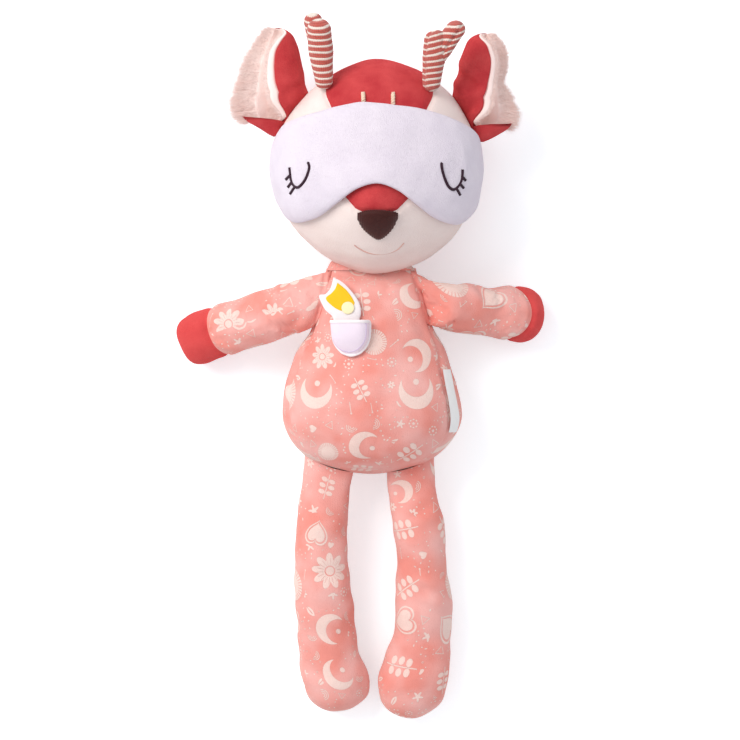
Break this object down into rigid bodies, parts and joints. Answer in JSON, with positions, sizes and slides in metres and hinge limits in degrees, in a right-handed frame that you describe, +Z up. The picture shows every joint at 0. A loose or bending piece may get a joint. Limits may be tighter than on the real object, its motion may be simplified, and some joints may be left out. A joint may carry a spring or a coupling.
{
  "type": "stuffed plush doll",
  "caption": "Stuffed fawn doll lying on its back, with a padded sleep mask, cupped ears, knitted antlers, soft limbs and a small padded keepsake in its chest pocket.",
  "frame": {"origin": "on the flat of the body's back, where the doll lies on the surface under it", "axes": "+Y towards the head, +Z up out of the face and chest, +X towards the doll's own left hand; left and right in the nodes' names are as seen from above, so the left ones lie at -X, on the doll's own right side"},
  "size_m": [0.1869, 0.3648, 0.0851],
  "materials": {
    "printed_cotton": "soft brushed coral cotton with a small pale print",
    "red_velour": "short-pile red velour",
    "cream_velour": "short-pile cream velour",
    "mask_plush": "thick soft lavender-white plush",
    "pocket_plush": "smooth pale lavender plush",
    "fluff": "long pale pink fluff",
    "striped_knit": "ribbed dark red knit with cream stripes",
    "brown_thread": "satin embroidery thread",
    "rose_thread": "embroidery thread",
    "cream_thread": "thick sewing thread",
    "white_trim": "white woven trim",
    "keepsake_yellow": "yellow printed cotton",
    "elastic": "flat woven elastic",
    "filling": "white polyester filling"
  },
  "bodies": {
    "torso": {"torso_front_panel": "printed_cotton", "torso_back_panel": "printed_cotton", "torso_stuffing": "filling", "neck_stitching": "cream_thread", "pocket_panel": "pocket_plush", "pocket_binding": "white_trim"},
    "neck": {"neck_stuffing": "filling"},
    "head": {"crown_gusset": "red_velour", "face_panel": "cream_velour", "head_back_panel": "red_velour", "head_stuffing": "filling", "nose": "brown_thread", "mouth_stitch": "rose_thread", "crown_stitch_left": "cream_thread", "crown_stitch_right": "cream_thread", "eye_left": "brown_thread", "eye_right": "brown_thread", "mask_strap": "elastic"},
    "mask": {"mask_lining": "pocket_plush", "mask_front": "mask_plush", "mask_lashes_left": "brown_thread", "mask_lashes_right": "brown_thread"},
    "ear_left": {"ear_outer_left": "red_velour", "ear_lining_left": "fluff"},
    "ear_right": {"ear_outer_right": "red_velour", "ear_lining_right": "fluff"},
    "antler_left": {"antler_cover_left": "striped_knit", "antler_stuffing_left": "filling"},
    "antler_right": {"antler_cover_right": "striped_knit", "antler_stuffing_right": "filling"},
    "arm_left": {"arm_cover_left": "printed_cotton", "hand_cover_left": "red_velour", "arm_stuffing_left": "filling"},
    "arm_right": {"arm_cover_right": "printed_cotton", "hand_cover_right": "red_velour", "arm_stuffing_right": "filling"},
    "leg_left": {"leg_cover_left": "printed_cotton", "leg_stuffing_left": "filling"},
    "leg_right": {"leg_cover_right": "printed_cotton", "leg_stuffing_right": "filling"},
    "keepsake": {"keepsake_backing": "white_trim", "keepsake_top": "keepsake_yellow"},
    "label": {"side_label": "white_trim"}
  },
  "joints": [
    {"name": "neck_turn", "type": "hinge", "parent": "torso", "child": "neck", "pos_m": [0.00258, 0.08276, 0.0385], "axis": [0.0262, 0.9997, 0], "range_deg": [-35, 35], "stiffness_Nm_per_rad": 0.05},
    {"name": "head_nod", "type": "hinge", "parent": "neck", "child": "head", "pos_m": [0.00258, 0.08276, 0.0385], "axis": [0.9997, -0.0262, 0], "range_deg": [-20, 15], "stiffness_Nm_per_rad": 0.05},
    {"name": "mask_lift", "type": "hinge", "parent": "head", "child": "mask", "pos_m": [0.00418, 0.14395, 0.07159], "axis": [-0.9997, 0.0262, 0], "range_deg": [0, 30], "stiffness_Nm_per_rad": 0.01},
    {"name": "ear_flex_left", "type": "hinge", "parent": "head", "child": "ear_left", "pos_m": [-0.0429, 0.13887, 0.0385], "axis": [0.5063, 0.8624, 0], "range_deg": [-18, 8], "stiffness_Nm_per_rad": 0.01},
    {"name": "ear_flex_right", "type": "hinge", "parent": "head", "child": "ear_right", "pos_m": [0.05092, 0.13642, 0.0385], "axis": [0.4605, -0.8877, 0], "range_deg": [-18, 8], "stiffness_Nm_per_rad": 0.01},
    {"name": "antler_flex_left", "type": "hinge", "parent": "head", "child": "antler_left", "pos_m": [-0.02595, 0.1526, 0.06], "axis": [0.9997, -0.0262, 0], "range_deg": [-20, 20], "stiffness_Nm_per_rad": 0.01},
    {"name": "antler_flex_right", "type": "hinge", "parent": "head", "child": "antler_right", "pos_m": [0.03472, 0.15101, 0.06], "axis": [0.9997, -0.0262, 0], "range_deg": [-20, 20], "stiffness_Nm_per_rad": 0.01},
    {"name": "shoulder_left", "type": "hinge", "parent": "torso", "child": "arm_left", "pos_m": [-0.02751, 0.0425, 0.04155], "axis": [0.2686, 0.9619, 0.0511], "range_deg": [-18, 85]},
    {"name": "shoulder_right", "type": "hinge", "parent": "torso", "child": "arm_right", "pos_m": [0.02751, 0.0425, 0.04155], "axis": [0.2686, -0.9619, -0.0511], "range_deg": [-18, 85]},
    {"name": "hip_left", "type": "hinge", "parent": "torso", "child": "leg_left", "pos_m": [-0.022, -0.0502, 0.023], "axis": [-1, 0, 0], "range_deg": [-20, 75]},
    {"name": "hip_right", "type": "hinge", "parent": "torso", "child": "leg_right", "pos_m": [0.022, -0.0502, 0.023], "axis": [-1, 0, 0], "range_deg": [-20, 75]},
    {"name": "keepsake_slide", "type": "slide", "parent": "torso", "child": "keepsake", "axis": [-0.256, 0.9553, -0.1478], "range_m": [0, 0.008]},
    {"name": "label_flap", "type": "hinge", "parent": "torso", "child": "label", "pos_m": [0.04095, -0.0105, 0.03951], "axis": [0.023, -0.9996, -0.0137], "range_deg": [0, 40], "stiffness_Nm_per_rad": 0.001}
  ]
}
